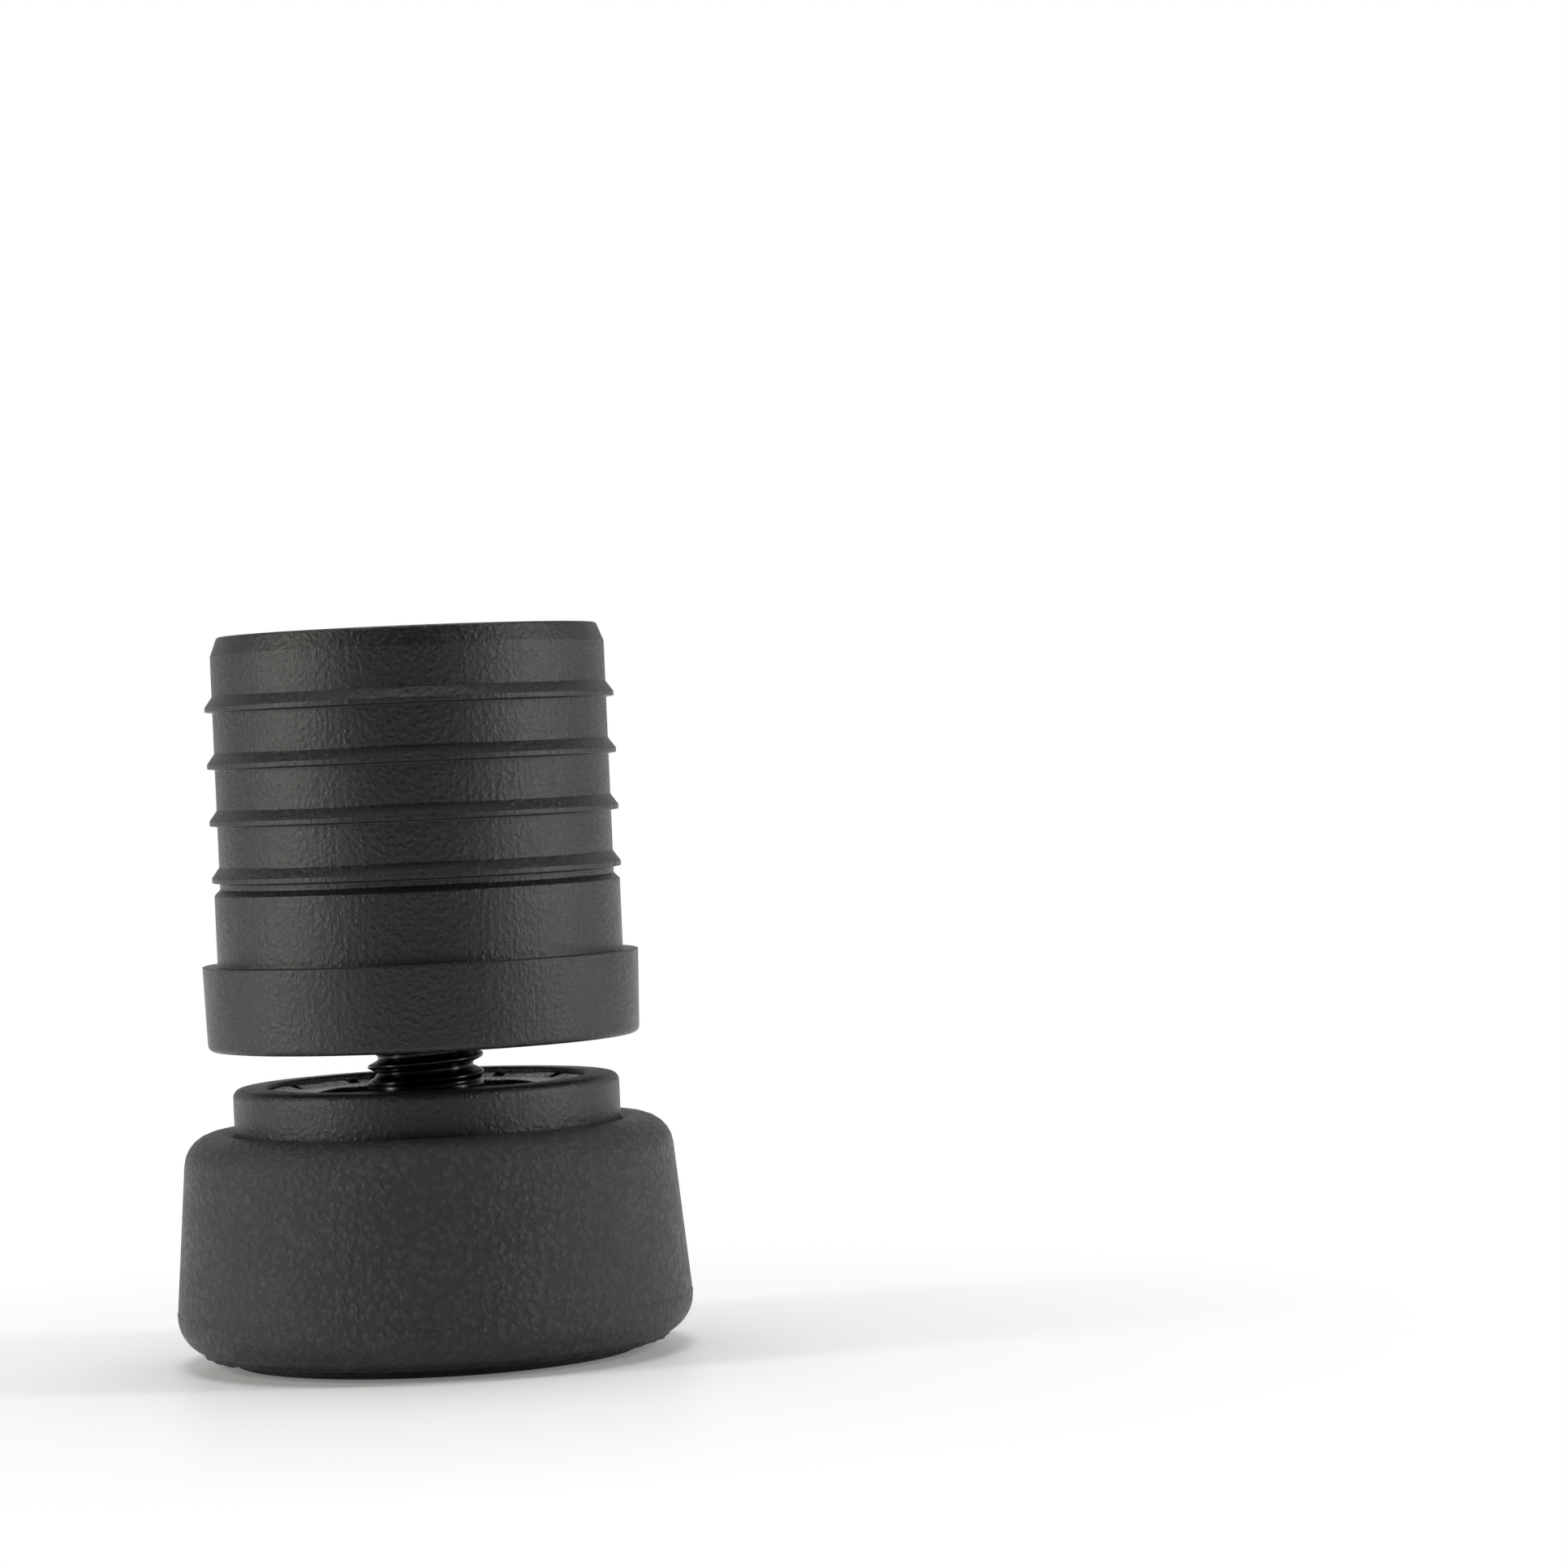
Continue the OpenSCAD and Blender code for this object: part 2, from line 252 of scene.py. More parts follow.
def boot_outline():
    """Closed section: lip, toe arc with its flash, side with its bead, shoulder, inner wall."""
    toe = arc(boot_r - TOE, toe_z, TOE, -90, 0, 22)
    cut = np.argmin(abs(toe[:, 0] - boot_r + FLASH_IN))
    tip = toe[cut] + (toe[cut] - [boot_r - TOE, toe_z]) / TOE * FLASH
    bead_z = toe_z + BEAD_RISE
    corners = [(sole_r + 0.1, boot_low, 0.15)]
    corners += [(r, z, 0) for r, z in toe[:cut]]
    corners += [(*tip, 0)]
    corners += [(r, z, 0) for r, z in toe[cut + 1 :]]
    corners += [(side_r(z), z, 0) for z in (bead_z - 0.12, bead_z - 0.06)]
    corners += [(side_r(bead_z) + BEAD, bead_z, 0)]
    corners += [(side_r(z), z, 0) for z in (bead_z + 0.06, bead_z + 0.12)]
    corners += [(side_r(z), z, 0) for z in np.linspace(bead_z + 0.6, side_z - 0.6, 9)]
    corners += [(side_r(boot_top), boot_top, SHOULDER), (COLLAR_R + 1.0, boot_top - 0.05, 0.6)]
    neck, wall, shelf = COLLAR_R + BOND, core_r + BOND, CORE_SHELF + BOND
    corners += [(neck, boot_top - 0.35, 0.15), (neck, shelf, 0.1)]
    corners += [(wall, shelf, 0.1), (wall, core_low, 0.1)]
    corners += [(sole_r + 0.1, core_low, 0.1)]
    return rounded(corners), tip


def boot_push(tip):
    """The flash tip wanders with the angle, and the whole outside is very slightly out of round."""

    def push(r, z, theta):
        near = np.exp(-((r - tip[0]) ** 2 + (z - tip[1]) ** 2) / 0.03**2)
        ragged = 0.1 + 0.07 * ripple(theta, 3, 40, 6) + 0.05 * ripple(theta, 5, 60, 40)
        outer = np.clip((r - core_r - 0.4) / 1.5, 0, 1)
        dr = near * 0.6 * ragged + outer * 0.03 * ripple(theta, 8, 4)
        return dr, -near * 0.5 * ragged

    return push


outline, flash_tip = boot_outline()
boot = add_object("rubber_boot", *turned(outline, 512, boot_push(flash_tip)), "foot", "boot")

# %% [markdown]
# The core is the hard body inside the boot. Only its collar shows, with a soft outer edge and a
# fine lip on the inside, but its hub, shelf, skirt and ribs are kept, because a part is judged
# from below and when it is taken apart as well. The ribs sink a little into the walls that they
# join, so that no slit shows.

# %% Core with its collar
hub_r = 12.3
well_r = 10.5
collar_in = 13.65
floor_z = 4.1
hub_top = 21.6
RIBS = 8
RIB = 1.6
SINK = 0.2
SKIRT = core_r - 2.85
SHELF_LOW = CORE_SHELF - 2.5

core_outline = rounded([
    (0, core_low, 0), (hub_r, core_low, 0.2), (hub_r, SHELF_LOW, 0.3), (SKIRT, SHELF_LOW, 0.3),
    (SKIRT, core_low, 0.2), (core_r, core_low, 0.3), (core_r, CORE_SHELF, 0.3),
    (COLLAR_R, CORE_SHELF, 0.3), (COLLAR_R, rim_z - 0.1, 0.75), (COLLAR_R - 1.2, rim_z, 0.5),
    (collar_in, rim_z, 0.28), (collar_in, CORE_SHELF, 0.4), (hub_r, CORE_SHELF, 0.4),
    (hub_r, hub_top, 0.2), (well_r, hub_top, 0.3), (well_r, floor_z, 0.4),
    (0, floor_z, 0)], closed=False)
ribs = spokes(RIBS, 0, hub_r - SINK, SKIRT + SINK, RIB, core_low + 0.01, SHELF_LOW + SINK)
core = add_object("foot_core", *joined(turned(core_outline, 384), ribs), "foot", "core")

# %% [markdown]
# Inside the collar lie the keeper, a black bush whose bore is the dark hole round the stud, and
# the push-in ring that holds it: a thin spring-steel annulus whose teeth are bent up and bite the
# collar. The ring is one sheet, a grid of radius and angle with the slots left out, and Solidify
# gives it the thickness of the steel.

# %% Keeper and lock ring
keeper_r, lip_z, keeper_top = round_box("keeper")
lock_r, lock_low, lock_top = round_box("lock_ring")
keeper_bore = 9.4
keeper_outline = rounded([
    (keeper_bore, lip_z, 0.2), (keeper_bore + 0.8, lip_z, 0.2), (keeper_bore + 0.8, hub_top, 0.15),
    (keeper_r, hub_top, 0.12), (keeper_r, keeper_top, 0.12), (keeper_bore, keeper_top, 0.35)])
keeper = add_object("keeper_bush", *turned(keeper_outline, 256), "foot", "keeper")

TEETH = 12
TOOTH_CELLS = 36
ROOT_ROW = 6
STEEL = 0.36


def toothed_ring():
    """Sheet over (radius, angle): flat to the tooth roots, then each tooth rises to its tip.
    Slots between teeth are cells left out, and the inner edge is rolled down a little."""
    across = np.array([0, 0.08, 0.25, 0.8, 1.6, 2.4, 2.8, 3.0, 3.2, 3.5, 3.8, 4.05])
    r = across + keeper_bore + 0.06
    theta = np.arange(TEETH * TOOTH_CELLS) * 2 * np.pi / (TEETH * TOOTH_CELLS)
    root = r[ROOT_ROW]
    rise = np.clip((r - root) / (lock_r - root), 0, 1) ** 1.3 * (lock_top - lock_low - STEEL)
    roll = -0.05 * np.exp(-(r - r[0]) / 0.12)
    wave = 0.025 * np.sin(TEETH * theta)[None, :] * np.clip((r - r[0]) / 2, 0, 1)[:, None]
    z = (lock_low + STEEL / 2 + 0.03 + rise + roll)[:, None] + wave
    points = np.stack([r[:, None] * np.cos(theta), r[:, None] * np.sin(theta), z], axis=2)
    i, j = np.meshgrid(np.arange(len(r) - 1), np.arange(len(theta)), indexing="ij")
    right = (j + 1) % len(theta)
    n = len(theta)
    quads = np.stack([i * n + j, i * n + n + j, i * n + n + right, i * n + right], axis=2)
    cell = j % TOOTH_CELLS
    slot = (i >= ROOT_ROW) & ((cell < 3) | (cell >= TOOTH_CELLS - 3))
    return points.reshape(-1, 3), [quads[~slot]]


ring_points, ring_faces = toothed_ring()
used = np.unique(ring_faces[0])
index = np.zeros(len(ring_points), int)
index[used] = np.arange(len(used))
lock_ring = add_object("lock_ring_spring", ring_points[used], [index[ring_faces[0]]],
                       "foot", "lock_ring")
steel = lock_ring.modifiers.new("steel", "SOLIDIFY")
steel.thickness = STEEL * MM
steel.offset = 0
edge = lock_ring.modifiers.new("edge", "BEVEL")
edge.width = 0.05 * MM
edge.segments = 2
edge.limit_method = "ANGLE"

# %% [markdown]
# The stud carries a real right-hand thread. Its surface is a cylinder whose radius falls and
# rises as a clipped triangle wave of `height / pitch - angle / full turn`, so a crest climbs one
# pitch each turn. The wave fades in over the first turn, as a rolled thread runs out, and the top
# is chamfered. The journal below, with its clip groove, turns in the ball.

# %% Stud
crest_r, stud_low, stud_top = round_box("stud")
_, clip_low, clip_top = round_box("journal_clip")
JOURNAL = 3.5
DEPTH = 0.61 * PITCH - 0.05
shoulder_z = 19.45
thread_low = shoulder_z + 3.5


def thread_cut(z, theta):
    """Depth of the groove below the crest: 0 on the crest, DEPTH at the root."""
    phase = (z / PITCH - theta / (2 * np.pi)) % 1
    ridge = np.clip((abs(2 * phase - 1) - 0.22) / 0.64, 0, 1)
    return DEPTH * (1 - ridge * ridge * (3 - 2 * ridge) * 0.35 - ridge * 0.65)


def stud_push(r, z, theta):
    """Cuts the thread into the shank, fading in above its run-out and out at the chamfer."""
    fade = np.clip((z - thread_low) / PITCH, 0, 1)
    shank = (r > crest_r - 0.02) & (z > thread_low)
    cut = thread_cut(z, theta) * fade * fade * (3 - 2 * fade)
    top = np.clip(z - (stud_top - 1.0), 0, 1)
    return -np.where(shank, np.maximum(cut, top), 0), 0 * cut


foot_of_stud = rounded([
    (0, stud_low, 0), (JOURNAL, stud_low, 0.3), (JOURNAL, clip_low - 0.05, 0.05),
    (JOURNAL - 0.6, clip_low - 0.05, 0.05), (JOURNAL - 0.6, clip_top + 0.05, 0.05),
    (JOURNAL, clip_top + 0.05, 0.05), (JOURNAL, shoulder_z, 0.1), (crest_r, shoulder_z, 0.3),
    (crest_r, thread_low, 0)], closed=False)
THREAD_STEP = 0.0625
shank_z = np.arange(thread_low + THREAD_STEP, stud_top - 0.01, THREAD_STEP)
shank = np.column_stack([np.full(len(shank_z), crest_r), shank_z])
stud_outline = np.vstack([foot_of_stud, shank, [(crest_r - 1.15, stud_top), (0, stud_top)]])
stud = add_object("threaded_stud", *turned(stud_outline, 128, stud_push), "stud", "stud")

# %% [markdown]
# The plug closes the leg tube. Its flange carries on the line of the tube, its barrel has a plain
# land and four barbed fins that grip the bore, and inside are the hub for the nut and six webs.
# The two mould halves left a hair of a line down each side of the barrel.

# %% Tube plug
flange_r, plug_low, plug_top = round_box("tube_plug")
nut_r, nut_low, nut_top = round_box("threaded_insert")
LAND_R = 17.3
FIN_R = 17.45
ROOT_R = 16.8
flange_top = plug_low + 7.2
land_top = flange_top + 6
barrel_in = 14.5
plug_hub_r = 8.5
hub_lip = nut_top + 1.45
plate_top = plug_low + 2.6
FINS = 4
LEAD_IN = 1.6
SEAM = 0.03
fin_pitch = (plug_top - land_top - LEAD_IN - 1) / FINS


def plug_outline():
    """Closed section: underside, drafted flange, land, fins, lead-in, cavity, hub and bore."""
    corners = [(nut_r + 0.05, plug_low, 0.1), (flange_r - 0.2, plug_low, 0.5)]
    corners += [(flange_r, flange_top, 0.12), (LAND_R, flange_top, 0.1)]
    corners += [(LAND_R, land_top, 0.15), (ROOT_R, land_top + 0.5, 0.1)]
    for k in range(FINS):
        z = land_top + 1 + k * fin_pitch
        corners += [(ROOT_R, z, 0.08), (FIN_R, z + 0.1, 0.06)]
        corners += [(FIN_R, z + 0.5, 0.1), (ROOT_R, z + 1.4, 0.2)]
    corners += [(ROOT_R, plug_top - LEAD_IN, 0.5), (ROOT_R - 0.6, plug_top, 0.3)]
    corners += [(barrel_in, plug_top, 0.4), (barrel_in, plate_top, 0.6)]
    corners += [(plug_hub_r, plate_top, 0.6), (plug_hub_r, hub_lip, 0.35)]
    corners += [(crest_r + 0.6, hub_lip, 0.25), (crest_r + 0.6, nut_top + 0.05, 0.1)]
    corners += [(nut_r - 2.05, nut_top + 0.05, 0.1), (nut_r - 2.05, nut_low + 1.35, 0.1)]
    corners += [(nut_r + 0.05, nut_low + 1.35, 0.1)]
    return rounded(corners)


def plug_push(r, z, theta):
    """A parting line, 0.03 mm proud, down both sides of the barrel and flange."""
    seam = np.exp(-((np.abs(np.sin(theta)) * r / 0.08) ** 2))
    outside = (r > ROOT_R - 0.7) & (z > plug_low + 0.4) & (z < plug_top - 0.3)
    return SEAM * seam * outside, 0 * r


webs = spokes(6, 30, plug_hub_r - SINK, barrel_in + SINK, 1.8, plate_top - SINK, nut_top - 0.4)
plug_shell = turned(plug_outline(), 320, plug_push)
plug = add_object("tube_end_plug", *joined(plug_shell, webs), "plug", "tube_plug")

# %% [markdown]
# The nut is a flanged steel insert. Its bore repeats the stud's thread wave with a small running
# clearance, so the two stay in mesh while the foot is screwed in or out, and its barrel is cut by
# a straight knurl, which is a zigzag of the angle alone.

# %% Threaded insert
RUN = 0.06
KNURLS = 24
KNURL_DEPTH = 0.3
BARREL_IN = 2.1
NYLON_R = 6.25


def insert_outline():
    """Closed section: flange face, knurled barrel, seat of the nylon ring and the threaded bore."""
    bore = np.arange(nut_top - 2.2, nut_low + 0.35, -0.1)
    corners = [(crest_r + 0.45, nut_low, 0.08), (nut_r, nut_low, 0.25), (nut_r, nut_low + 1.3, 0.2)]
    barrel_r = nut_r - BARREL_IN
    corners += [(barrel_r, nut_low + 1.3, 0.1), (barrel_r, nut_low + 2.2, 0)]
    corners += [(barrel_r, z, 0) for z in np.linspace(nut_low + 2.5, nut_top - 2.9, 12)]
    corners += [(barrel_r, nut_top - 2.6, 0), (barrel_r, nut_top, 0.2), (NYLON_R, nut_top, 0.1)]
    corners += [(NYLON_R, nut_top - 2, 0.1), (crest_r + RUN, nut_top - 2, 0.05)]
    corners += [(crest_r + RUN, z, 0) for z in bore]
    return rounded(corners)


def insert_push(r, z, theta):
    """Thread in the bore and knurl on the barrel."""
    bore = abs(r - crest_r - RUN) < 0.01
    knurl = abs(KNURLS * theta / (2 * np.pi) % 1 - 0.5) * 2
    barrel = (abs(r - nut_r + BARREL_IN) < 0.01) & (z > nut_low + 2.3) & (z < nut_top - 2.8)
    dr = np.where(bore, -thread_cut(z, theta), 0) - np.where(barrel, KNURL_DEPTH * knurl, 0)
    return dr, 0 * dr


insert_shell = turned(insert_outline(), 192, insert_push)
insert = add_object("knurled_insert", *insert_shell, "plug", "threaded_insert")

# %% [markdown]
# The sole is a separate rubber pad let into the boot. Two ring grooves part its face into lands,
# which give the rubber an edge to grip with on a smooth floor.

# %% Sole pad
_, sole_low, _ = round_box("sole_pad")
GROOVE = 1.2
GROOVE_DEEP = 0.5
sole_corners = [(0, sole_low, 0)]
for g in (sole_r * 0.45, sole_r * 0.72):
    sole_corners += [(g, sole_low, 0.12), (g + 0.1, sole_low + GROOVE_DEEP, 0.12)]
    sole_corners += [(g + GROOVE - 0.1, sole_low + GROOVE_DEEP, 0.12), (g + GROOVE, sole_low, 0.12)]
sole_corners += [(sole_r, sole_low, 0.5), (sole_r, sole_top, 0.1), (0, sole_top, 0)]
sole_shell = turned(rounded(sole_corners, closed=False), 288)
sole = add_object("rubber_sole", *sole_shell, "foot", "sole_pad")

# %% [markdown]
# ## Finishes
# A material here is a small node tree on Object coordinates, so a pattern keeps its real size and
# stays on its piece when a joint moves. Three things vary in every one of them: colour, roughness
# and the height of the skin, because a surface that is the same all over looks like a drawing.
# What is the same all over, such as metal or not, is set on the shader itself.

# %% Helpers for node trees
def shader_node(tree, kind, **values):
    """A node of this kind, with the inputs named in values set to them."""
    made = tree.nodes.new("ShaderNode" + kind)
    for name, value in values.items():
        if name in made.inputs:
            made.inputs[name].default_value = value
        else:
            setattr(made, name, value)
    return made


def noise(tree, place, size, detail=3.0, roughness=0.55, distortion=0.0):
    """Noise whose features are about size millimetres across; its output runs about 0.3 to 0.7."""
    made = shader_node(tree, "TexNoise", Scale=1 / (size * MM), Detail=detail,
                       Roughness=roughness, Distortion=distortion)
    tree.links.new(place, made.inputs["Vector"])
    return made.outputs["Fac"]


def spread(tree, value, low, high, to_low, to_high):
    """The value carried from one range to another, and held inside it."""
    made = shader_node(tree, "MapRange")
    limits = {"From Min": low, "From Max": high, "To Min": to_low, "To Max": to_high}
    for name, number in limits.items():
        made.inputs[name].default_value = number
    tree.links.new(value, made.inputs["Value"])
    return made.outputs["Result"]


def combine(tree, operation, first, second):
    """Two values through one Math operation."""
    made = shader_node(tree, "Math", operation=operation)
    for slot, value in zip(made.inputs, (first, second)):
        if isinstance(value, (int, float)):
            slot.default_value = value
        else:
            tree.links.new(value, slot)
    return made.outputs[0]


def mixed(tree, value, low, high):
    """A colour between two, by a value from 0 to 1."""
    made = shader_node(tree, "Mix", data_type="RGBA")
    made.inputs[6].default_value = (*low, 1)
    made.inputs[7].default_value = (*high, 1)
    tree.links.new(value, made.inputs[0])
    return made.outputs[2]


def stretched(tree, place, x, y, z):
    """The place scaled along each axis, so that a pattern is drawn out along the small ones."""
    made = shader_node(tree, "Mapping")
    made.inputs["Scale"].default_value = (x, y, z)
    tree.links.new(place, made.inputs["Vector"])
    return made.outputs["Vector"]


def finish_tree(name, **constants):
    """A new material with its Principled shader: (material, tree, shader, object coordinates)."""
    material = bpy.data.materials.new(name)
    material.use_nodes = True
    tree = material.node_tree
    shader = tree.nodes["Principled BSDF"]
    for key, value in constants.items():
        shader.inputs[key.replace("_", " ")].default_value = value
    place = shader_node(tree, "TexCoord").outputs["Object"]
    return material, tree, shader, place


def dress(tree, shader, colour, roughness, height, depth):
    """Links colour, roughness and a bump of this depth in millimetres to the shader."""
    bump = shader_node(tree, "Bump", Strength=1.0, Distance=depth * MM)
    tree.links.new(height, bump.inputs["Height"])
    tree.links.new(bump.outputs["Normal"], shader.inputs["Normal"])
    tree.links.new(colour, shader.inputs["Base Color"])
    tree.links.new(roughness, shader.inputs["Roughness"])


# %% [markdown]
# The boot, the collar and the plug are black mouldings from a spark-eroded mould: a leathery
# grain of rounded pebbles under a millimetre across, with finer tooth between them. Smooth Voronoi
# cells give the pebbles, and noise breaks them up. The pebble tops are a little smoother, and are
# painted lighter than the valleys: painted highlight on the tops and painted shade in the valleys,
# so the height also drives the colour and the roughness.

# %% Grained mouldings
def grained(name, dark, light, pebble, depth, rough, streaks=0.0):
    """Moulded skin: pebbles of one size in millimetres, grain depth, roughness range, and how
    much of the height comes from upright draw marks left by the mould."""
    material, tree, shader, place = finish_tree(name, IOR=1.48)
    cells = shader_node(tree, "TexVoronoi", feature="SMOOTH_F1", Scale=1 / (pebble * MM),
                        Smoothness=0.6)
    warp = shader_node(tree, "TexNoise", Scale=0.6 / (pebble * MM), Detail=2.0)
    tree.links.new(place, warp.inputs["Vector"])
    bent = shader_node(tree, "VectorMath", operation="MULTIPLY_ADD")
    tree.links.new(warp.outputs["Color"], bent.inputs[0])
    bent.inputs[1].default_value = (pebble * MM, pebble * MM, pebble * MM)
    tree.links.new(place, bent.inputs[2])
    tree.links.new(bent.outputs[0], cells.inputs["Vector"])
    pebbles = spread(tree, cells.outputs["Distance"], 0.05, 0.6, 1, 0)
    tooth = noise(tree, place, pebble * 0.35, 4.0, 0.65)
    height = combine(tree, "ADD", combine(tree, "MULTIPLY", pebbles, 0.65), tooth)
    if streaks:
        drawn = noise(tree, stretched(tree, place, 1, 1, 0.06), 0.35, 3.0)
        height = combine(tree, "ADD", height, combine(tree, "MULTIPLY", drawn, streaks))
    cloud = noise(tree, place, 5.0, 4.0)
    # Painted light: the colour is lighter on the pebble tops and darker in the valleys, broken up
    # at random.
    painted_top_light = spread(tree, height, 0.45, 1.2, 0, 1)
    painted_light_speck = combine(tree, "MULTIPLY", painted_top_light, spread(tree, cloud, 0.3, 0.7, 0.6, 1))
    colour = mixed(tree, painted_light_speck, dark, light)
    roughness = spread(tree, combine(tree, "ADD", height, cloud), 0.9, 1.7, rough[1], rough[0])
    dress(tree, shader, colour, roughness, height, depth)
    return material


def paint(finish, slot, *pieces):
    """Puts one finish on pieces or CAD nodes; the slot argument is not used."""
    for piece in pieces:
        piece.data.materials.clear()
        piece.data.materials.append(finish)


boot_rubber = grained("boot rubber", (0.008, 0.008, 0.0085), (0.035, 0.035, 0.031),
                      0.62, 0.13, (0.28, 0.46))
core_plastic = grained("core plastic", (0.008, 0.008, 0.008), (0.016, 0.0155, 0.0138),
                       0.5, 0.06, (0.3, 0.45), 0.5)
plug_plastic = grained("plug plastic", (0.007, 0.007, 0.007), (0.013, 0.0126, 0.0113),
                       0.5, 0.055, (0.3, 0.45), 0.8)
sole_rubber = grained("sole rubber", (0.016, 0.016, 0.016), (0.034, 0.034, 0.033),
                      0.4, 0.03, (0.62, 0.8))
paint(boot_rubber, "boot_rubber", boot)
paint(core_plastic, "core_plastic", core)
paint(plug_plastic, "plug_plastic", plug)
paint(sole_rubber, "sole_rubber", sole)

# %% [markdown]
# The metals differ in how they were finished. The stud is oiled black steel, glossy with fine
# lines along the thread. The spring ring's colour carries bright patches that are painted glints.
# The ball is ground, the washer is bronze, and the nut is zinc plated. All are metallic shaders
# whose brush lines are noise drawn out along one axis.

# %% Metals and inner plastics
def metal(name, dark, light, rough, line=0.25, along=(1, 1, 8), depth=0.006, blotch=3.0):
    """Metal with brush lines: noise squeezed along the axes with a large number in along."""
    material, tree, shader, place = finish_tree(name, Metallic=1.0)
    lines = noise(tree, stretched(tree, place, *along), line * 4, 4.0, 0.7)
    # Patches vary the colour at random; where the colour range is wide, as on the spring ring, they
    # are painted glints.
    tone_and_glint_patches = noise(tree, place, blotch, 5.0, 0.6, 0.4)
    shade = spread(tree, combine(tree, "ADD", lines, tone_and_glint_patches), 0.75, 1.3, 0, 1)
    colour = mixed(tree, shade, dark, light)
    roughness = spread(tree, combine(tree, "ADD", tone_and_glint_patches, lines), 0.75, 1.3, rough[1], rough[0])
    dress(tree, shader, colour, roughness, lines, depth)
    return material


def smooth_plastic(name, dark, light, rough, depth=0.01):
    """Smooth moulded plastic: faint flow clouds in the colour and a very slight orange peel."""
    material, tree, shader, place = finish_tree(name, IOR=1.49)
    flow = noise(tree, stretched(tree, place, 1, 1, 0.4), 3.0, 4.0, 0.6, 0.8)
    peel = noise(tree, place, 0.5, 2.0)
    colour = mixed(tree, spread(tree, flow, 0.3, 0.7, 0, 1), dark, light)
    dress(tree, shader, colour, spread(tree, flow, 0.3, 0.7, rough[0], rough[1]), peel, depth)
    return material


stud_black = metal("oiled black steel", (0.012, 0.012, 0.013), (0.05, 0.05, 0.052),
                   (0.16, 0.3), 0.2, (1, 1, 6))
# The spring ring's light colour is a painted glint: its bright patches stand in for sparkle of
# light.
spring_steel = metal("spring steel with painted glints", (0.03, 0.03, 0.03), (0.8, 0.8, 0.78),
                     (0.14, 0.34), 0.12, (1, 1, 1), 0.05, 0.7)
clip_steel = metal("phosphated steel", (0.04, 0.04, 0.042), (0.12, 0.12, 0.125), (0.4, 0.6))
ball_steel = metal("ground steel", (0.4, 0.4, 0.41), (0.6, 0.6, 0.61),
                   (0.14, 0.26), 0.15, (1, 1, 12), 0.003)
insert_steel = metal("zinc plated steel", (0.42, 0.43, 0.4), (0.66, 0.66, 0.6),
                     (0.24, 0.4), 0.3, (1, 1, 3))
washer_bronze = metal("plain bronze", (0.36, 0.22, 0.08), (0.6, 0.42, 0.19), (0.25, 0.45))
keeper_plastic = smooth_plastic("keeper plastic", (0.008, 0.008, 0.009), (0.016, 0.016, 0.017),
                                (0.25, 0.4))
cup_plastic = smooth_plastic("natural acetal", (0.66, 0.64, 0.56), (0.76, 0.74, 0.67), (0.3, 0.42))
lock_nylon = smooth_plastic("blue nylon", (0.03, 0.1, 0.36), (0.05, 0.17, 0.5), (0.35, 0.5))

paint(stud_black, "stud_black", stud)
paint(spring_steel, "spring_steel", lock_ring, frame["nodes"]["wave_washer"])
paint(clip_steel, "clip_steel", frame["nodes"]["journal_clip"])
paint(ball_steel, "ball_steel", frame["nodes"]["ball_knuckle"])
paint(insert_steel, "insert_steel", insert)
paint(washer_bronze, "washer_bronze", frame["nodes"]["thrust_washer"])
paint(keeper_plastic, "keeper_plastic", keeper)
paint(cup_plastic, "cup_plastic", frame["nodes"]["swivel_cup"])
paint(lock_nylon, "lock_nylon", frame["nodes"]["thread_lock_ring"])
print("finishes:", len(bpy.data.materials))

# %% [markdown]
# ## Studio
# Small black products are lit from both sides, so that each round surface carries two soft
# upright bands with a dark middle, and stand before white, which draws a thin bright rim at the
# edges. The floor is a wide plane that looks white to the camera but still takes the shadow.

# %% Floor and world
bpy.ops.mesh.primitive_plane_add(size=6, location=(0, 0, 0))
floor = bpy.context.object
floor.name = "studio_floor"
floor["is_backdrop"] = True


def ray_sum(tree, *names):
    """1 for any of these kinds of ray, else 0."""
    path = shader_node(tree, "LightPath")
    total = path.outputs[names[0]]
    for name in names[1:]:
        total = combine(tree, "MAXIMUM", total, path.outputs[name])
    return total


GLOW = 0.14
FADE_NEAR = 0.024
FADE_FAR = 0.085


def floor_finish():
    """White board: a diffuse and slightly glossy shader with a little glow where it is seen, which
    turns into plain white paper between two distances from the foot's middle, in metres."""
    material, tree, shader, place = finish_tree("white board", IOR=1.3)
    cloud = spread(tree, noise(tree, place, 60.0), 0.3, 0.7, 0, 1)
    tint = mixed(tree, cloud, (0.86, 0.86, 0.855), (0.88, 0.88, 0.875))
    tree.links.new(tint, shader.inputs["Base Color"])
    shader.inputs["Roughness"].default_value = 0.35
    glow = shader_node(tree, "Emission", Color=(1, 1, 0.995, 1))
    seen = ray_sum(tree, "Is Camera Ray", "Is Glossy Ray", "Is Transmission Ray")
    tree.links.new(combine(tree, "MULTIPLY", seen, GLOW), glow.inputs["Strength"])
    both = shader_node(tree, "AddShader")
    tree.links.new(shader.outputs[0], both.inputs[0])
    tree.links.new(glow.outputs[0], both.inputs[1])
    away = shader_node(tree, "VectorMath", operation="LENGTH")
    tree.links.new(place, away.inputs[0])
    paper = shader_node(tree, "Emission", Strength=1.0)
    fade = shader_node(tree, "MixShader")
    far = spread(tree, away.outputs["Value"], FADE_NEAR, FADE_FAR, 0, 1)
    tree.links.new(combine(tree, "MULTIPLY", far, seen), fade.inputs[0])
    tree.links.new(both.outputs[0], fade.inputs[1])
    tree.links.new(paper.outputs[0], fade.inputs[2])
    tree.links.new(fade.outputs[0], tree.nodes["Material Output"].inputs["Surface"])
    return material


floor.data.materials.append(floor_finish())


WORLD_DIM = 0.0
WORLD_BACK = 0.5


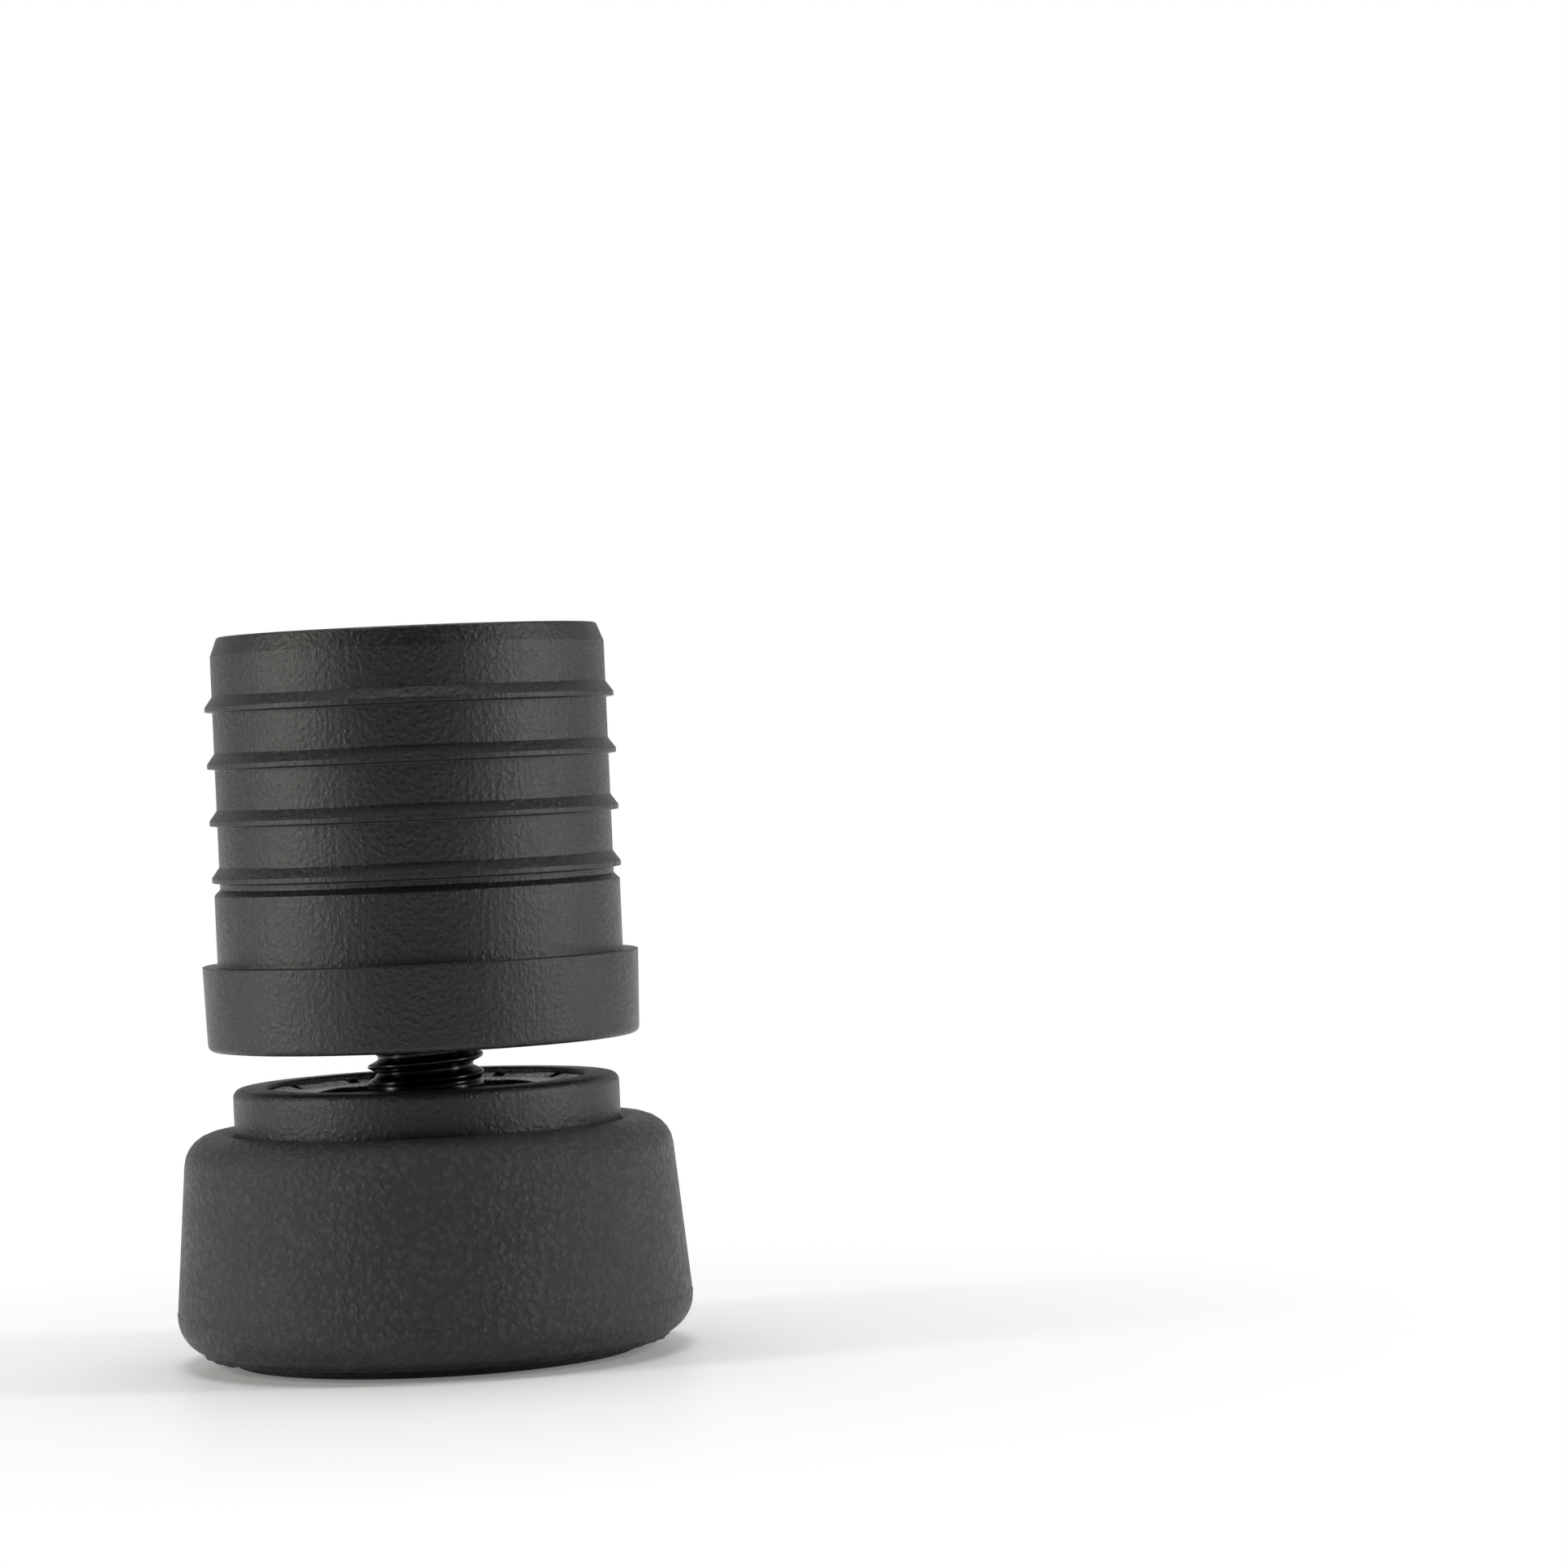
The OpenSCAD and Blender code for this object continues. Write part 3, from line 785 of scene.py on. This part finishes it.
def studio_world():
    """White to the camera; as light, pale behind the object and dark in front of it."""
    world = bpy.data.worlds.new("studio")
    bpy.context.scene.world = world
    world.use_nodes = True
    tree = world.node_tree
    back = tree.nodes["Background"]
    back.inputs["Color"].default_value = (1, 1, 1, 1)
    direction = shader_node(tree, "SeparateXYZ")
    tree.links.new(shader_node(tree, "TexCoord").outputs["Generated"], direction.inputs[0])
    behind = spread(tree, direction.outputs["Y"], -0.1, 0.75, WORLD_DIM, WORLD_BACK)
    seen = ray_sum(tree, "Is Camera Ray", "Is Transmission Ray")
    strength = shader_node(tree, "Mix", data_type="FLOAT")
    tree.links.new(seen, strength.inputs[0])
    tree.links.new(behind, strength.inputs[2])
    strength.inputs[3].default_value = 1.0
    tree.links.new(strength.outputs[0], back.inputs["Strength"])
    return world


studio_world()

# %% [markdown]
# Two tall boxes stand to the left and right, and a third hangs overhead, for the shoulder of the
# boot and the top edges.

# %% Softboxes
AIM_Z = 0.03


def softbox(name, azimuth, height, distance, width, tall, watts, colour):
    """Area lamp at an angle round Z from the camera side, in metres, aimed at the foot's middle."""
    lamp = bpy.data.lights.new(name, "AREA")
    lamp.shape = "RECTANGLE"
    lamp.size, lamp.size_y = width, tall
    lamp.energy = watts
    lamp.color = colour
    made = bpy.data.objects.new(name, lamp)
    a = np.radians(azimuth)
    made.location = (distance * np.sin(a), -distance * np.cos(a), height)
    aim = Vector((0, 0, AIM_Z)) - made.location
    made.rotation_euler = aim.to_track_quat("-Z", "Y").to_euler()
    bpy.context.scene.collection.objects.link(made)
    return made


softbox("left box", -77, 0.16, 0.55, 0.11, 0.5, 2.4, (1, 0.995, 0.93))
softbox("right box", 77, 0.16, 0.55, 0.11, 0.5, 2.3, (1, 1, 0.97))
softbox("top box", 180, 0.7, 0.06, 0.4, 0.4, 2.7, (0.98, 0.99, 1))

# %% [markdown]
# The camera looks a few degrees down at the foot from some 43 cm with a long lens, level with the
# gap between plug and collar, and is rolled a little, so the leg leans to the left.

# %% Camera
EYE = Vector((0, -0.430, 0.051))
LOOK = Vector((0.0318, 0, 0.0474))
LENS = 115
ROLL = 2.5
camera = bpy.data.objects.new("camera", bpy.data.cameras.new("camera"))
bpy.context.scene.collection.objects.link(camera)
turn = (LOOK - EYE).to_track_quat("-Z", "Y").to_matrix().to_4x4()
camera.matrix_world = Matrix.Translation(EYE) @ turn @ Matrix.Rotation(np.radians(-ROLL), 4, "Z")
camera.data.lens = LENS
bpy.context.scene.camera = camera
bpy.context.scene.view_settings.view_transform = "Standard"

# %% Compare the box of the finished model with the CAD box
boxes = {"cad": [list(map(float, c)) for c in CAD_BOX],
         "visual": [list(map(float, c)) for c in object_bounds()]}
grown = (np.array(boxes["visual"]) - np.array(boxes["cad"])) / MM
print("grown by mm:", grown.round(3).ravel().tolist())
